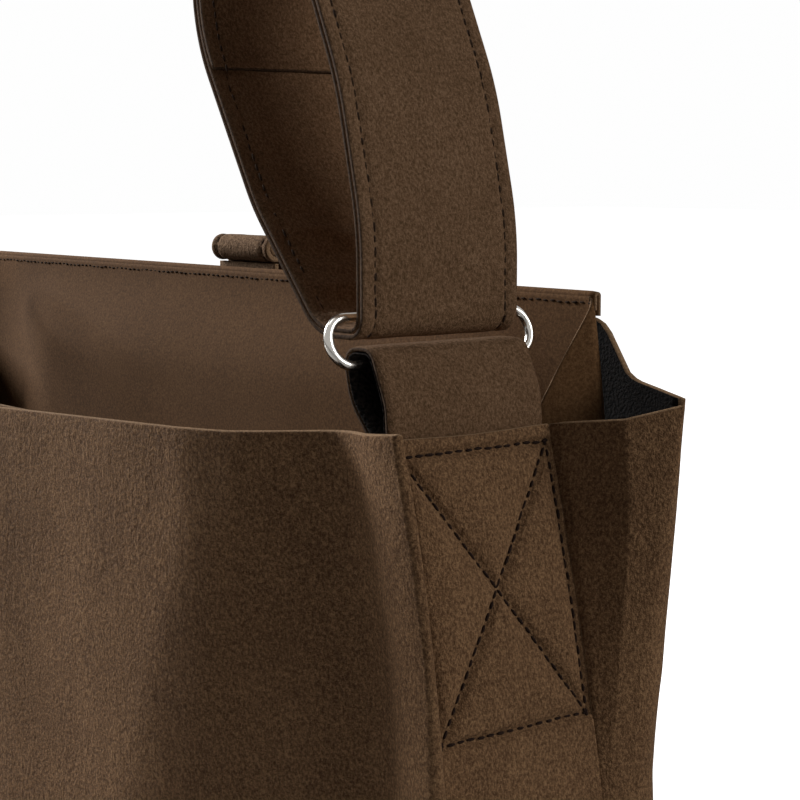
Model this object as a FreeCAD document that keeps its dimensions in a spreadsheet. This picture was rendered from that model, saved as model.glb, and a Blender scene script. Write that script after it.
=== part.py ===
"""Garden tool bag: an open leather tote with folded-in ends, a taller back, a lining, ring tabs,
an adjustable carrying strap and a closing strap with a press stud.

Millimetres, +Z up. The origin is the middle of the base's underside. +X is the right-hand end,
-Y the front. The sheet named sizes holds the driving dimensions.
"""
import FreeCAD, Part
import math
import os

import Sketcher

from FreeCAD import Placement, Rotation, Vector

doc = FreeCAD.newDocument("garden_tool_bag")
sheet = doc.addObject("Spreadsheet::Sheet", "sizes")

SIZES = {
    # outer leather body
    "base_length": 404.0,      # base, end to end
    "base_depth": 104.0,       # base, front to back
    "base_corner": 24.0,       # corner radius of the base
    "leather": 2.0,            # thickness of the outer leather
    "rim_height": 240.0,       # rim at the two end strips
    "strip_span": 340.0,       # between the end strips' outer faces at the rim
    "ear_out": 27.0,           # how far the corner folds stand beyond the strips at the rim
    "ear_depth": 92.0,         # front corner fold to back corner fold at the rim
    "ear_lift": 6.0,           # rim at the corner folds, above the strips
    "front_bulge": 10.0,       # front panel's belly, beyond the corner folds
    "back_bulge": 2.0,         # the same for the back panel
    "belly_in": 70.0,          # where the belly begins, in from the corner folds
    "back_rise": 26.0,         # back panel's rim above the strips
    "fold_height": 147.0,      # level where the end folds are measured again
    "fold_strip": 21.0,        # strips there, further out than at the rim
    "fold_ear": 30.0,          # corner folds there, beyond the strips' rim position
    "fold_round": 15.0,        # corner folds' radius there
    # lining
    "lining": 1.4,             # thickness of the lining leather
    "lining_end": 7.0,         # lining's ends, in from the strips' outer faces
    "lining_front": 0.8,       # front lining, in from the front corner folds
    "lining_back": 2.2,        # back lining, in from the back corner folds
    "lining_drop": 3.0,        # front lining's rim below the front rim
    "end_lining_drop": 12.0,   # end linings' rim below the strips' rim, behind the tabs
    "hem_rise": 33.0,          # back lining's hem above the strips' rim
    "hem_width": 6.5,          # folded-over hem
    # base
    "board": 2.5,              # stiffening board
    "board_gap": 10.0,         # board and its cover, in from the base's edge
    # ring tabs and rings
    "tab_leather": 1.4,        # tab strip
    "tab_backing": 0.7,        # its woven backing
    "tab_tail": 72.0,          # how far the tab runs down inside the end strip
    "ring_wire": 2.5,
    "ring_pitch": 12.0,        # between the ring's two bars
    "ring_lean": 18.0,         # degrees, upper bar towards the middle of the bag
    "ring_in": 14.0,           # lower bar, in from the strip's outer face at the rim
    "ring_up": 17.0,           # lower bar above the rim
    # carrying strap
    "strap_width": 50.0,       # strap, tabs and end strips
    "strap_layer": 1.5,        # each of the strap's two layers
    "arch_rise": 202.0,        # strap's mid-line at its top, above the rim
    "tail_length": 16.0,       # part of the turned-back end that lies against the strap
    # slider
    "slider_wire": 2.5,
    "slider_length": 32.0,     # between the end bars
    "slider_travel": 3.0,      # each way, in the sewn loop's slack
    # closing strap
    "closer_width": 32.0,
    "closer": 2.0,             # its thickness
    "closer_length": 150.0,    # free part, from the fold
    "closer_sewn": 60.0,       # part sewn to the back panel
    "closer_lift": 6.0,        # fold above the hem
    "stud_radius": 6.5,
    "stud_thick": 2.0,
    "stud_from_end": 14.0,
    "stud_drop": 24.0,         # stud on the front panel, below the rim
    # fits
    "touch_gap": 0.1,          # between pieces that are sewn together
    "swing_gap": 0.35,         # round what turns or slides
    "eye_share": 0.365,        # of the ring's spare room, round the upper bar in the strap's loop
    "crown_share": 0.338,      # the same, round the lower bar in the tab's fold
}
for row, (alias, value) in enumerate(SIZES.items(), 1):
    sheet.set(f"A{row}", alias)
    sheet.set(f"B{row}", str(value))
    sheet.setAlias(f"B{row}", alias)
doc.recompute()


def size(alias):
    """A driving dimension, as the sheet holds it."""
    return float(sheet.get(alias))


# ---------------------------------------------------------------- drawing helpers


def offset_corners(points, shift, closed):
    """The polyline's corners after each side moves left by shift."""
    count = len(points)
    sides = []
    for i in range(count if closed else count - 1):
        a, b = points[i], points[(i + 1) % count]
        run = math.hypot(b[0] - a[0], b[1] - a[1])
        normal = (-(b[1] - a[1]) / run, (b[0] - a[0]) / run)
        sides.append((a, b, normal))
    moved = []
    for i in range(count):
        before = sides[i - 1] if closed or i > 0 else sides[0]
        after = sides[i % len(sides)] if closed or i < count - 1 else sides[-1]
        nx, ny = before[2][0] + after[2][0], before[2][1] + after[2][1]
        scale = shift * 2.0 / (nx * nx + ny * ny)
        moved.append((points[i][0] + nx * scale, points[i][1] + ny * scale))
    return moved


def rounded_edges(points, radii, shift, closed, to_3d):
    """Straight runs joined by tangent arcs. A radius of 0 leaves the corner sharp."""
    moved = offset_corners(points, shift, closed)
    count = len(points)
    stations = []
    for i in range(count):
        if not closed and i in (0, count - 1) or radii[i] == 0:
            stations.append([moved[i]])
            continue
        a, p, b = moved[i - 1], moved[i], moved[(i + 1) % count]
        u = Vector(p[0] - a[0], p[1] - a[1], 0).normalize()
        v = Vector(b[0] - p[0], b[1] - p[1], 0).normalize()
        turn = math.atan2(u.x * v.y - u.y * v.x, u.dot(v))
        radius = radii[i] - shift * math.copysign(1.0, turn)
        reach = radius * math.tan(abs(turn) / 2)
        start = (p[0] - u.x * reach, p[1] - u.y * reach)
        end = (p[0] + v.x * reach, p[1] + v.y * reach)
        bisector = Vector(v.x - u.x, v.y - u.y, 0).normalize()
        inward = radius / math.cos(turn / 2) - radius
        middle = (p[0] + bisector.x * inward, p[1] + bisector.y * inward)
        stations.append([start, middle, end])
    edges = []
    for i, station in enumerate(stations):
        if len(station) == 3:
            edges.append(Part.Arc(*[to_3d(q) for q in station]).toShape())
        if closed or i < count - 1:
            a, b = station[-1], stations[(i + 1) % count][0]
            if math.dist(a, b) > 1e-6:
                edges.append(Part.LineSegment(to_3d(a), to_3d(b)).toShape())
    return edges


def ribbon(points, radii, low, high, to_3d):
    """The face of a bent strip between two offsets from its line."""
    first = rounded_edges(points, radii, low, False, to_3d)
    second = rounded_edges(points, radii, high, False, to_3d)
    a, b = offset_corners(points, low, False), offset_corners(points, high, False)
    caps = [Part.LineSegment(to_3d(a[k]), to_3d(b[k])).toShape() for k in (0, -1)]
    return Part.Face(Part.Wire(Part.__sortEdges__(first + second + caps)))


def in_xz(point):
    return Vector(point[0], 0, point[1])


def in_yz(point):
    return Vector(0, point[0], point[1])


def hidden_shape(name, shape):
    """A construction shape that other objects use. It is not a sub-part."""
    feature = doc.addObject("Part::Feature", name)
    feature.Shape = shape
    return feature


def extrusion(label, face, direction, width):
    """A face pushed out both ways from its plane by half of a width expression."""
    feature = doc.addObject("Part::Extrusion", label)
    feature.Base = hidden_shape(label + "_outline", face)
    feature.Dir = direction
    feature.DirMode = "Custom"
    feature.Solid = True
    feature.setExpression("LengthFwd", f"({width}) / 2")
    feature.setExpression("LengthRev", f"({width}) / 2")
    return feature


def primitive(kind, name, placement, **expressions):
    """A Part primitive with its sizes bound to the sheet."""
    feature = doc.addObject(kind, name)
    for prop, expression in expressions.items():
        feature.setExpression(prop, expression)
    feature.Placement = placement
    return feature


def fused(label, *pieces):
    feature = doc.addObject("Part::MultiFuse", label)
    feature.Shapes = list(pieces)
    return feature


def origin_plane(body, role):
    return next(o for o in body.Origin.OriginFeatures if o.Role == role)


def rectangle_sketch(body, name, role, along_x, along_y):
    """A rectangle centred on the body's origin, its two sides bound to expressions."""
    sketch = body.newObject("Sketcher::SketchObject", name)
    sketch.AttachmentSupport = (origin_plane(body, role), [""])
    sketch.MapMode = "FlatFace"
    corners = [Vector(-10, -5, 0), Vector(10, -5, 0), Vector(10, 5, 0), Vector(-10, 5, 0)]
    for i in range(4):
        sketch.addGeometry(Part.LineSegment(corners[i], corners[(i + 1) % 4]))
    for i in range(4):
        sketch.addConstraint(Sketcher.Constraint("Coincident", i, 2, (i + 1) % 4, 1))
    for i, kind in enumerate(("Horizontal", "Vertical", "Horizontal", "Vertical")):
        sketch.addConstraint(Sketcher.Constraint(kind, i))
    sketch.addConstraint(Sketcher.Constraint("Symmetric", 0, 1, 1, 2, -1, 1))
    wide = sketch.addConstraint(Sketcher.Constraint("DistanceX", 0, 1, 0, 2, 20.0))
    high = sketch.addConstraint(Sketcher.Constraint("DistanceY", 1, 1, 1, 2, 10.0))
    sketch.setExpression(f"Constraints[{wide}]", along_x)
    sketch.setExpression(f"Constraints[{high}]", along_y)
    return sketch


def upright_edges(feature):
    """The names of the feature's edges that run straight up."""
    names = []
    for i, edge in enumerate(feature.Shape.Edges, 1):
        a, b = edge.Vertexes[0].Point, edge.Vertexes[-1].Point
        if abs(a.x - b.x) + abs(a.y - b.y) < 1e-6 < abs(a.z - b.z):
            names.append(f"Edge{i}")
    return names


def rounded_plate(label, length, depth, corner, thickness, floor):
    """A flat plate with round corners, lying at the given height."""
    body = doc.addObject("PartDesign::Body", label)
    sketch = rectangle_sketch(body, label + "_outline", "XY_Plane", length, depth)
    pad = body.newObject("PartDesign::Pad", label + "_pad")
    pad.Profile = sketch
    pad.setExpression("Length", thickness)
    doc.recompute()
    round_off = body.newObject("PartDesign::Fillet", label + "_corners")
    round_off.Base = (pad, upright_edges(pad))
    round_off.setExpression("Radius", corner)
    body.Placement = Placement(Vector(0, 0, floor), Rotation())
    return body


# ---------------------------------------------------------------- places worked out from the sizes

RIM = size("rim_height")
HALF_SPAN = size("strip_span") / 2
HALF_STRIP = size("strap_width") / 2
LEATHER = size("leather")
LINING = size("lining")
GAP = size("touch_gap")
SWING = size("swing_gap")
HEM = RIM + size("hem_rise")
SKY = HEM + 30.0
REACH = size("base_length")
EAR = HALF_SPAN + size("ear_out")
EAR_RIM = RIM + size("ear_lift")
HALF_EARS = size("ear_depth") / 2
BELLY_RADIUS = 150.0
BASE_CORNER = min(size("base_corner"), size("base_depth") / 2 - HALF_STRIP - 2.0)


def wall_outline(level):
    """The outer wall's corners anticlockwise from the right strip, and the radius at each."""
    front, back = HALF_EARS + size("front_bulge"), HALF_EARS + size("back_bulge")
    strip, ear, depth, fold = HALF_SPAN, EAR, HALF_EARS, 3.0
    if level == "fold":
        strip, ear = HALF_SPAN + size("fold_strip"), HALF_SPAN + size("fold_ear")
        fold = size("fold_round")
    if level == "base":
        strip, ear, fold = size("base_length") / 2 - 0.5, size("base_length") / 2, BASE_CORNER
        depth = size("base_depth") / 2
        front = back = depth + 0.8
    flank = Vector(ear - strip, depth - HALF_STRIP, 0)
    sharpness = math.tan((math.pi - math.atan2(flank.y, flank.x)) / 2)
    fold = min(fold, 0.97 * flank.Length / sharpness)
    belly = ear - size("belly_in")
    right = [(strip, -HALF_STRIP), (strip, HALF_STRIP), (ear, depth)]
    points = right + [(belly, back), (-belly, back), (-ear, depth)]
    points += [(-strip, HALF_STRIP), (-strip, -HALF_STRIP), (-ear, -depth)]
    points += [(-belly, -front), (belly, -front), (ear, -depth)]
    half = [0, 0, fold, BELLY_RADIUS, BELLY_RADIUS, fold]
    return points, half + half


def lining_outline(level):
    """The lining box's corners and radii, anticlockwise from the front right."""
    end = HALF_SPAN - size("lining_end")
    radius = 3.0
    if level == "fold":
        end += size("fold_strip")
        radius = 8.0
    if level == "base":
        end = size("base_length") / 2 - size("lining_end")
        radius = BASE_CORNER - size("lining_end")
    front, back = -HALF_EARS + size("lining_front"), HALF_EARS - size("lining_back")
    return [(end, front), (end, back), (-end, back), (-end, front)], [radius] * 4


def tube(outline, floor, inset):
    """The solid inside an outline's four levels, less an inset."""
    wires = []
    levels = [("base", floor), ("fold", size("fold_height")), ("rim", RIM), ("rim", SKY)]
    for level, height in levels:
        points, radii = outline(level)
        edges = rounded_edges(points, radii, inset, True, lambda q: Vector(q[0], q[1], height))
        wires.append(Part.Wire(Part.__sortEdges__(edges)))
    return Part.makeLoft(wires, True, True)


def block(x0, x1, y0, y1, z0, z1):
    return Part.makeBox(x1 - x0, y1 - y0, z1 - z0, Vector(x0, y0, z0))


def sheet_part(label, shape):
    """A bent sheet as a sub-part, with its shape worked out from the sizes."""
    feature = doc.addObject("Part::Feature", label)
    feature.Shape = shape
    feature.Placement = Placement()
    return feature


def above(points, low, high, along):
    """Everything above a line. The line is (x, z) points for along "y", (y, z) for along "x"."""
    line = [(points[0][0], SKY + 10.0)] + points + [(points[-1][0], SKY + 10.0)]
    if along == "y":
        corners = [Vector(a, low, z) for a, z in line + line[:1]]
        return Part.Face(Part.makePolygon(corners)).extrude(Vector(0, high - low, 0))
    corners = [Vector(low, a, z) for a, z in line + line[:1]]
    return Part.Face(Part.makePolygon(corners)).extrude(Vector(high - low, 0, 0))


# ---------------------------------------------------------------- outer leather body
# Four panels meet at the creases beside the end strips. The front and back panels wrap round the
# corner folds and come in to the strips.

wall = tube(wall_outline, LEATHER, 0.0).cut(tube(wall_outline, LEATHER, LEATHER))
FLANK_END = HALF_EARS - LEATHER - 1.0
low_rim = [(-REACH, EAR_RIM), (-EAR, EAR_RIM), (-HALF_SPAN, RIM), (0, RIM - 2.0)]
low_rim += [(HALF_SPAN, RIM), (EAR, EAR_RIM), (REACH, EAR_RIM)]
kink = [(EAR, EAR_RIM), (HALF_SPAN + 8.0, RIM + 10.0), (HALF_SPAN - 5.0, RIM + size("back_rise"))]
high_rim = [(REACH, EAR_RIM)] + kink + [(-x, z) for x, z in reversed(kink)] + [(-REACH, EAR_RIM)]

STUD_Z = RIM - 2.0 - size("stud_drop")
stud_hole = Part.makeCylinder(1.5, 40.0, Vector(0, -HALF_EARS - 20.0, STUD_Z), Vector(0, 1, 0))
front = wall.common(block(-REACH, REACH, -REACH, -HALF_STRIP, 0, SKY)).cut(stud_hole)
sheet_part("front_panel", front.cut(above(low_rim, -REACH, -HALF_STRIP + 1.0, "y")))
back = wall.common(block(-REACH, REACH, HALF_STRIP, REACH, 0, SKY))
back = back.cut(above(low_rim, HALF_STRIP - 1.0, FLANK_END, "y"))
sheet_part("back_panel", back.cut(above(high_rim, FLANK_END, REACH, "y")))
sheet_part("right_end_strip", wall.common(block(0, REACH, -HALF_STRIP, HALF_STRIP, 0, RIM)))
sheet_part("left_end_strip", wall.common(block(-REACH, 0, -HALF_STRIP, HALF_STRIP, 0, RIM)))

# ---------------------------------------------------------------- base: panel, board and cover

CORNER = "min(sizes.base_corner; sizes.base_depth / 2 - sizes.strap_width / 2 - 2)"
rounded_plate("base_panel", "sizes.base_length", "sizes.base_depth", CORNER, "sizes.leather", 0)
BOARD_LENGTH = "sizes.base_length - 2 * (sizes.leather + sizes.board_gap)"
BOARD_DEPTH = "sizes.base_depth - 2 * (sizes.leather + sizes.board_gap)"
BOARD_CORNER = CORNER + " - sizes.board_gap"
COVER = LEATHER + size("board")
rounded_plate("base_board", BOARD_LENGTH, BOARD_DEPTH, BOARD_CORNER, "sizes.board", LEATHER)
rounded_plate("base_lining", BOARD_LENGTH, BOARD_DEPTH, BOARD_CORNER, "sizes.lining", COVER)

# ---------------------------------------------------------------- lining
# A box of thin leather inside the outer body. Its back rises above everything else to the hem, and
# its rim drops along the ends from the hem to the strips.

inner = tube(lining_outline, LEATHER, 0.0).cut(tube(lining_outline, LEATHER, LINING))
lining_back_y = HALF_EARS - size("lining_back")
drop = RIM - size("lining_drop")
low = inner.common(block(-REACH, REACH, -REACH, -HALF_STRIP, 0, drop))
sheet_part("front_lining", low)
high = inner.common(block(-REACH, REACH, HALF_STRIP, REACH, 0, HEM))
end_rim = [(HALF_STRIP - 1.0, RIM), (HALF_STRIP, RIM), (lining_back_y - 4.0, HEM - 5.0)]
end_rim += [(lining_back_y - 4.0, SKY)]
for side in (1, -1):
    inside, outside = sorted((side * (HALF_SPAN - size("lining_end") - 4.0), side * REACH))
    high = high.cut(above(end_rim, inside, outside, "x"))
hem_end = HALF_SPAN - size("lining_end") - 3.0
hem_flap = block(-hem_end, hem_end, lining_back_y, lining_back_y + LINING, HEM - size("hem_width"), HEM)
sheet_part("back_lining", high.fuse(hem_flap).removeSplitter())
end_top = RIM - size("end_lining_drop")
sheet_part("right_end_lining", inner.common(block(0, REACH, -HALF_STRIP, HALF_STRIP, 0, end_top)))
sheet_part("left_end_lining", inner.common(block(-REACH, 0, -HALF_STRIP, HALF_STRIP, 0, end_top)))

# ---------------------------------------------------------------- ring tabs
# Each tab is a strip folded over the ring's lower bar, with both ends sewn down inside the end
# strip. The leather is outside the fold and the woven backing inside it.

LEAN = math.radians(size("ring_lean"))
BAR = size("ring_wire") / 2
LOWER = (HALF_SPAN - size("ring_in"), RIM + size("ring_up"))
UPPER = (LOWER[0] - size("ring_pitch") * math.sin(LEAN), LOWER[1] + size("ring_pitch") * math.cos(LEAN))
tab_thick = size("tab_leather") + size("tab_backing") + GAP
spare_room = UPPER[1] - LOWER[1] - 2 * BAR - tab_thick - 2 * size("strap_layer")
crown = BAR + size("crown_share") * spare_room + tab_thick / 2
strip_slope = size("fold_strip") / (RIM - size("fold_height"))
strip_cos = 1.0 / math.hypot(1.0, strip_slope)
tail_low = RIM - size("tab_tail")


def in_from_strip(depth, height):
    """A point this deep behind the sloping end strip's outer face."""
    return (HALF_SPAN - depth / strip_cos + strip_slope * (RIM - height), height)


outer_depth = LEATHER * strip_cos + GAP + tab_thick / 2
inner_depth = outer_depth + tab_thick + GAP
bar_x, bar_z = LOWER
tab_line = [in_from_strip(outer_depth, tail_low), in_from_strip(outer_depth, RIM)]
tab_line += [(HALF_SPAN - 3.8, RIM + 8.0), (bar_x + 4.5, bar_z + crown), (bar_x - 6.0, bar_z + crown)]
tab_line += [(bar_x - 3.0, bar_z - 9.0), in_from_strip(inner_depth, RIM - 6.0)]
tab_line += [in_from_strip(inner_depth, tail_low)]
tab_radii = [0, 12.0, 10.0, 3.5, 3.5, 15.0, 10.0, 0]
for side, name in ((1, "right"), (-1, "left")):
    to_3d = in_xz if side == 1 else lambda q: Vector(-q[0], 0, q[1])
    leather = ribbon(tab_line, tab_radii, -tab_thick / 2, size("tab_leather") - tab_thick / 2, to_3d)
    backing = ribbon(tab_line, tab_radii, tab_thick / 2 - size("tab_backing"), tab_thick / 2, to_3d)
    extrusion(name + "_tab_leather", leather, Vector(0, 1, 0), "sizes.strap_width")
    extrusion(name + "_tab_backing", backing, Vector(0, 1, 0), "sizes.strap_width")

# ---------------------------------------------------------------- rings
# Bent wire: two straight bars along Y and two round ends. The lower bar sits in the tab's fold.

for side, name in ((1, "right_ring"), (-1, "left_ring")):
    pieces = []
    half_bar = HALF_STRIP + 1.5
    for tag, level in (("low", -1), ("high", 1)):
        at = Placement(Vector(0, -half_bar, level * size("ring_pitch") / 2), Rotation(Vector(1, 0, 0), -90))
        pieces.append(primitive(
            "Part::Cylinder", f"{name}_{tag}_bar", at,
            Radius="sizes.ring_wire / 2", Height="sizes.strap_width + 3"
        ))
    for end in (1, -1):
        turn = Rotation(Vector(0, 0, 1), Vector(1, 0, 0)) * Rotation(Vector(0, 0, 1), 0 if end == 1 else 180)
        at = Placement(Vector(0, end * half_bar, 0), turn)
        pieces.append(primitive(
            "Part::Torus", f"{name}_bend_{'back' if end == 1 else 'front'}", at,
            Radius1="sizes.ring_pitch / 2", Radius2="sizes.ring_wire / 2", Angle3="180"
        ))
    ring = fused(name, *pieces)
    middle = Vector(side * (LOWER[0] + UPPER[0]) / 2, 0, (LOWER[1] + UPPER[1]) / 2)
    ring.Placement = Placement(middle, Rotation(Vector(0, 1, 0), -side * size("ring_lean")))

# ---------------------------------------------------------------- carrying strap
# One long strip of two layers. From a loop sewn round the slider's middle bar it runs down, round
# the right ring's upper bar, up through the slider, over the arch and round the left ring, where
# its end is turned back and sewn.

LAYER = size("strap_layer")
EYE = BAR + size("eye_share") * spare_room + LAYER
RISE = size("arch_rise") / 202.0
ux, uz = UPPER
arch_right = [(ux + EYE, uz - EYE), (ux + EYE, RIM + 50.0 * RISE), (ux - 4.3, RIM + 85.0 * RISE)]
arch_right += [(ux * 0.82, RIM + 135.0 * RISE), (ux * 0.433, RIM + 190.0 * RISE)]
arch_right += [(ux * 0.197, RIM + 202.0 * RISE)]
right_radii = [EYE, 80.0, 90.0, 40.0, 60.0, 100.0]
arch = arch_right + [(-x, z) for x, z in reversed(arch_right)]
arch_radii = right_radii + right_radii[::-1]

# the straight stretch that carries the slider
run_low, run_high = arch_right[3], arch_right[4]
run = Vector(run_high[0] - run_low[0], 0, run_high[1] - run_low[1])
run_length = run.Length
along = Vector(run.x, 0, run.z).normalize()
inward = Vector(-along.z, 0, along.x)
if inward.z > 0:
    inward = inward * -1
slider_at = Vector(run_low[0], 0, run_low[1]) + along * (run_length * 0.468)
wire = size("slider_wire") / 2
loop_line = wire + SWING - 0.02
bar_drop = LAYER + 0.3 + LAYER + loop_line
middle_bar = slider_at + inward * bar_drop


def near_bar(forward, down):
    """A point beside the slider's middle bar, along the strap and away from it."""
    point = middle_bar + along * forward + inward * down
    return (point.x, point.z)


slack = size("slider_travel") + loop_line
leg = [(ux - 68.3, RIM + 125.0 * RISE), (ux - 66.3, RIM + 99.0 * RISE)]
leg += [(ux - 40.3, RIM + 55.0 * RISE), (ux - 13.3, uz - EYE)]
leg_radii = [30.0, 50.0, 60.0, 14.0]
halfway = (in_xz(leg[0]) + in_xz(leg[1])) * 0.5
turned = offset_corners([leg[0], (halfway.x, halfway.z)], LAYER + GAP / 2, False)
loop = [turned[1], turned[0], near_bar(-slack, 3.0), near_bar(-slack, -loop_line)]
loop += [near_bar(slack, -loop_line), near_bar(slack, 3.0)]
loop_radii = [0, 12.0, 5.0, loop_line, loop_line, 6.0]

# the end turned back at the left ring, lying against the strap
left_leg = arch[-1:-4:-1]
beside = offset_corners(left_leg[1:], -(2 * LAYER + GAP), False)
lead = (in_xz(beside[1]) - in_xz(beside[0])).normalize()
meets = in_xz(beside[0]) + lead * 10.0
tail_end = meets + lead * size("tail_length")
tail = [(-ux + EYE, uz - EYE), (-ux + EYE, uz + 3.6), (meets.x, meets.z), (tail_end.x, tail_end.z)]
tail_radii = [EYE, 15.0, 20.0, 0]

strap_line = leg + arch + tail
strap_radii = leg_radii + arch_radii + tail_radii
leather = ribbon(loop + strap_line, loop_radii + strap_radii, -LAYER, -GAP / 2, in_xz)
backing_start = in_xz(leg[0]) * 0.7 + in_xz(leg[1]) * 0.3
backing_line = [(backing_start.x, backing_start.z)] + strap_line[1:]
backing = ribbon(backing_line, strap_radii, GAP / 2, LAYER, in_xz)
extrusion("strap_leather", leather, Vector(0, 1, 0), "sizes.strap_width")
extrusion("strap_backing", backing, Vector(0, 1, 0), "sizes.strap_width")

# ---------------------------------------------------------------- slider
# A bent wire frame: two end bars outside the strap, a middle bar inside it, and a rail down each
# side that dips from the end bars to the middle bar.

outside_y = HALF_STRIP + wire + 1.0
end_rise = LAYER + SWING + wire
half_length = size("slider_length") / 2
bars = []
for tag, forward, down in (("low", -half_length, -end_rise), ("middle", 0, bar_drop),
                           ("high", half_length, -end_rise)):
    centre = slider_at + along * forward + inward * down
    at = Placement(centre - Vector(0, outside_y, 0), Rotation(Vector(1, 0, 0), -90))
    bars.append(primitive(
        "Part::Cylinder", f"slider_{tag}_bar", at,
        Radius="sizes.slider_wire / 2", Height="sizes.strap_width + sizes.slider_wire + 2"
    ))
for end in (-1, 1):
    for tag, forward in (("low", -half_length), ("high", half_length)):
        start = slider_at + along * forward - inward * end_rise + Vector(0, end * outside_y, 0)
        finish = middle_bar + Vector(0, end * outside_y, 0)
        rail = doc.addObject("Part::Cylinder", f"slider_rail_{tag}_{'front' if end < 0 else 'back'}")
        rail.setExpression("Radius", "sizes.slider_wire / 2")
        rail.Height = (finish - start).Length
        rail.Placement = Placement(start, Rotation(Vector(0, 0, 1), finish - start))
        bars.append(rail)
        ball = doc.addObject("Part::Sphere", f"slider_corner_{tag}_{'front' if end < 0 else 'back'}")
        ball.setExpression("Radius", "sizes.slider_wire / 2")
        ball.Placement = Placement(start, Rotation())
        bars.append(ball)
    ball = doc.addObject("Part::Sphere", f"slider_dip_{'front' if end < 0 else 'back'}")
    ball.setExpression("Radius", "sizes.slider_wire / 2")
    ball.Placement = Placement(middle_bar + Vector(0, end * outside_y, 0), Rotation())
    bars.append(ball)
fused("slider", *bars)

# ---------------------------------------------------------------- closing strap
# Sewn to the outside of the back panel. Above the hem it folds over and hangs down the back. A
# press stud near its end takes the stud on the front panel.

CLOSER = size("closer")
back_face = HALF_EARS + size("back_bulge")
fold_z = HEM + size("closer_lift")
fold_y = back_face + GAP + CLOSER / 2
fold_reach = 3.4
tail_top = fold_z - fold_reach - CLOSER / 2 - SWING


def closer_strip(label, y0, y1, z0, z1):
    """A flat upright strip as wide as the closing strap."""
    corners = [(y0, z0), (y1, z0), (y1, z1), (y0, z1), (y0, z0)]
    face = Part.Face(Part.makePolygon([in_yz(q) for q in corners]))
    return extrusion(label, face, Vector(1, 0, 0), "sizes.closer_width")


flap_y = fold_y + fold_reach
closer_strip("closing_strap_tail", back_face + GAP, back_face + GAP + CLOSER,
             tail_top - size("closer_sewn"), tail_top)
hanging = closer_strip("closing_strap_flap", flap_y - CLOSER / 2, flap_y + CLOSER / 2,
                       fold_z - size("closer_length"), fold_z)
rolls = []
for tag, radius in (("outside", fold_reach + CLOSER / 2), ("inside", fold_reach - CLOSER / 2)):
    circle = Part.Circle(Vector(0, fold_y, fold_z), Vector(1, 0, 0), radius).toShape()
    face = Part.Face(Part.Wire([circle]))
    rolls.append(extrusion(f"closing_strap_roll_{tag}", face, Vector(1, 0, 0), "sizes.closer_width"))
roll = doc.addObject("Part::Cut", "closing_strap_roll")
roll.Base, roll.Tool = rolls
fused("closing_strap", hanging, roll)


def disc(label, y, z, outward):
    """A stud disc with its back at y, facing the given way."""
    at = Placement(Vector(0, y, z), Rotation(Vector(0, 0, 1), Vector(0, outward, 0)))
    return primitive("Part::Cylinder", label, at, Radius="sizes.stud_radius", Height="sizes.stud_thick")


cap_z = fold_z - size("closer_length") + size("stud_from_end")
disc("closing_stud_cap", flap_y - CLOSER / 2 - GAP, cap_z, -1)
disc("closing_stud_socket", flap_y + CLOSER / 2 + GAP, cap_z, 1)
front_face = -HALF_EARS - size("front_bulge")
plate = disc("front_stud_disc", front_face - GAP, STUD_Z, -1)
knob_at = Placement(Vector(0, front_face - GAP - size("stud_thick"), STUD_Z),
                    Rotation(Vector(0, 0, 1), Vector(0, -1, 0)))
knob = primitive("Part::Cylinder", "front_stud_knob", knob_at, Radius="sizes.stud_radius * 0.4",
                 Height="sizes.stud_thick * 0.9")
stem_at = Placement(Vector(0, front_face - GAP, STUD_Z), Rotation(Vector(0, 0, 1), Vector(0, 1, 0)))
stem = primitive("Part::Cylinder", "front_stud_stem", stem_at, Radius="1.4", Height="sizes.leather + 1.2")
fused("front_stud", plate, knob, stem)
disc_back = primitive("Part::Cylinder", "front_stud_back_disc",
                      Placement(Vector(0, front_face + LEATHER + GAP, STUD_Z),
                                Rotation(Vector(0, 0, 1), Vector(0, 1, 0))),
                      Radius="sizes.stud_radius * 0.8", Height="1")
stem_hole = primitive("Part::Cylinder", "front_stud_back_hole",
                      Placement(Vector(0, front_face, STUD_Z), Rotation(Vector(0, 0, 1), Vector(0, 1, 0))),
                      Radius="1.45", Height="10")
washer = doc.addObject("Part::Cut", "front_stud_back")
washer.Base = disc_back
washer.Tool = stem_hole

# ---------------------------------------------------------------- hand over the solids

NODES = ["front_panel", "back_panel", "right_end_strip", "left_end_strip", "base_panel"]
NODES += ["base_board", "base_lining", "front_lining", "back_lining"]
NODES += ["right_end_lining", "left_end_lining", "right_tab_leather", "right_tab_backing"]
NODES += ["left_tab_leather", "left_tab_backing", "right_ring", "left_ring", "strap_leather"]
NODES += ["strap_backing", "slider", "closing_strap", "closing_strap_tail", "closing_stud_cap"]
NODES += ["closing_stud_socket", "front_stud", "front_stud_back"]

doc.recompute()
os.makedirs("parts", exist_ok=True)
for node in NODES:
    part = doc.getObject(node)
    faults = [word for word in ("Invalid", "Error") if word in part.State]
    if faults or part.Shape.isNull() or not part.Shape.isValid() or part.Shape.Volume < 1.0:
        raise RuntimeError(f"{node} did not build: {part.State}")
    part.Label = node
    part.Shape.exportStep(f"parts/{node}.step")
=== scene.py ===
import math

import bmesh
import bpy
import numpy as np
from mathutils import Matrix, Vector, noise


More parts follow.
